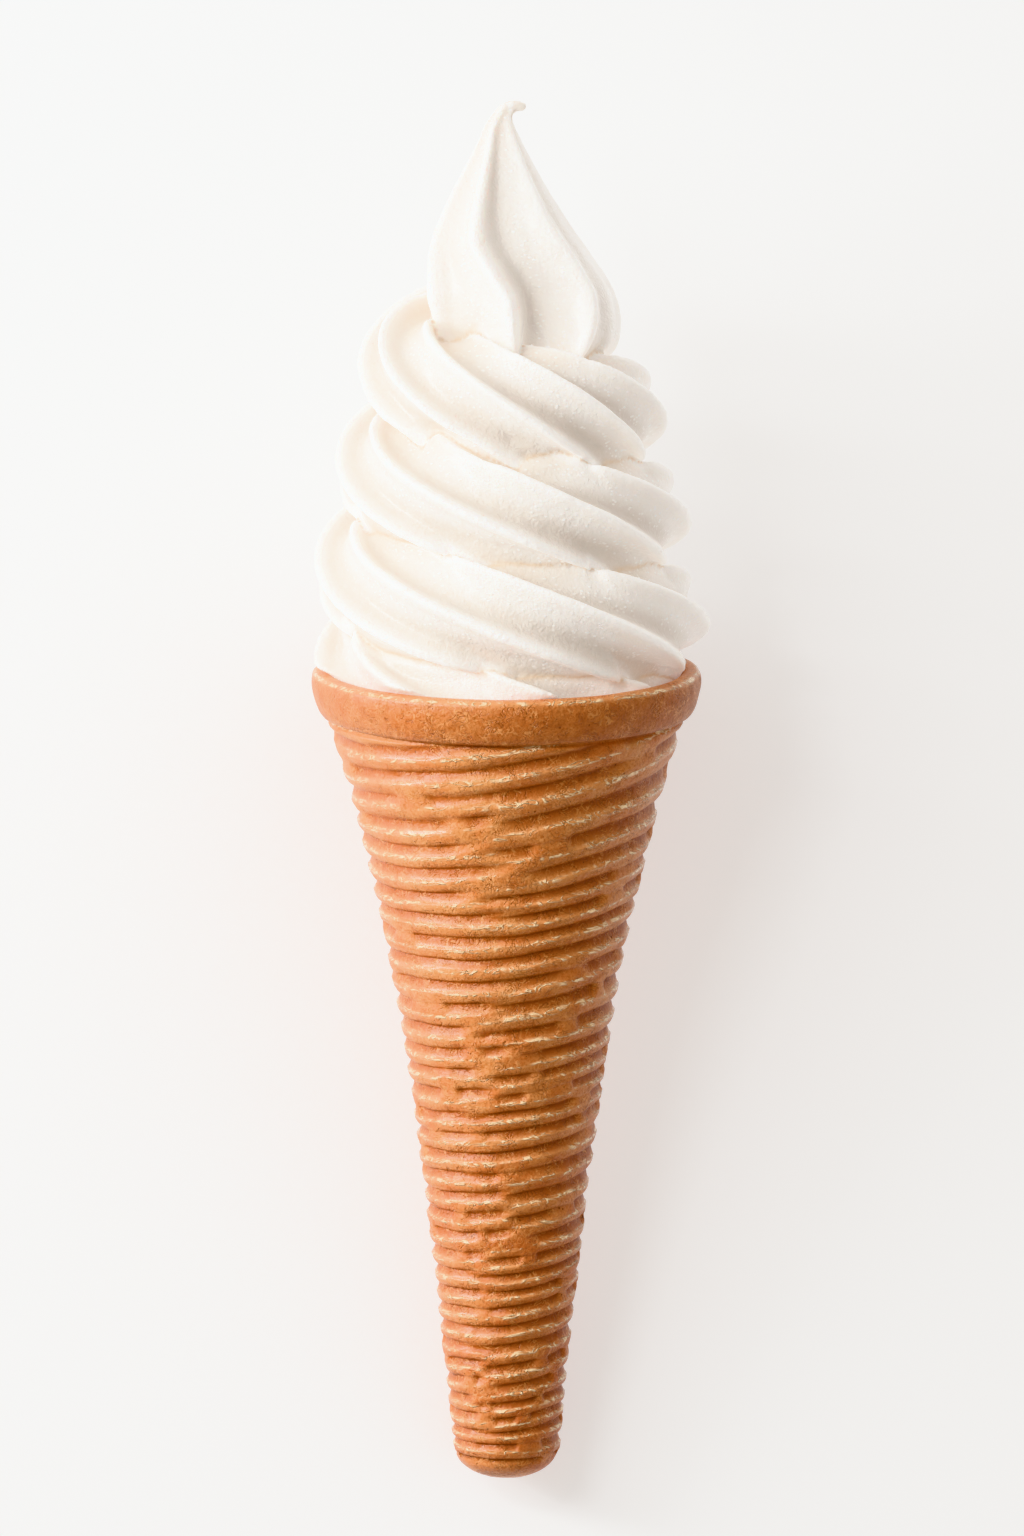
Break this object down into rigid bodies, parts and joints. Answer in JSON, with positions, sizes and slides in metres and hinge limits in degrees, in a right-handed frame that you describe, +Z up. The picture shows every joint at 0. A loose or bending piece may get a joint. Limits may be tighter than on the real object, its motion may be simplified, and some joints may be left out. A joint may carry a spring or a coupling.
{
  "type": "soft serve cone",
  "caption": "Tall ribbed wafer cone with a smooth flared rim, filled with soft serve that coils up in a lobed swirl to a hooked peak, lying on its side.",
  "frame": {"origin": "on the floor under the middle of the lying cone's box", "axes": "+Y from the wafer's tail towards the tip of the swirl, +Z up out of the shown side, +X to the right of the shown side"},
  "size_m": [0.0636, 0.2208, 0.0642],
  "materials": {
    "wafer": "satin",
    "soft_serve": "satin"
  },
  "bodies": {
    "root": {"wafer_cone": "wafer", "soft_serve": "soft_serve"}
  },
  "joints": []
}
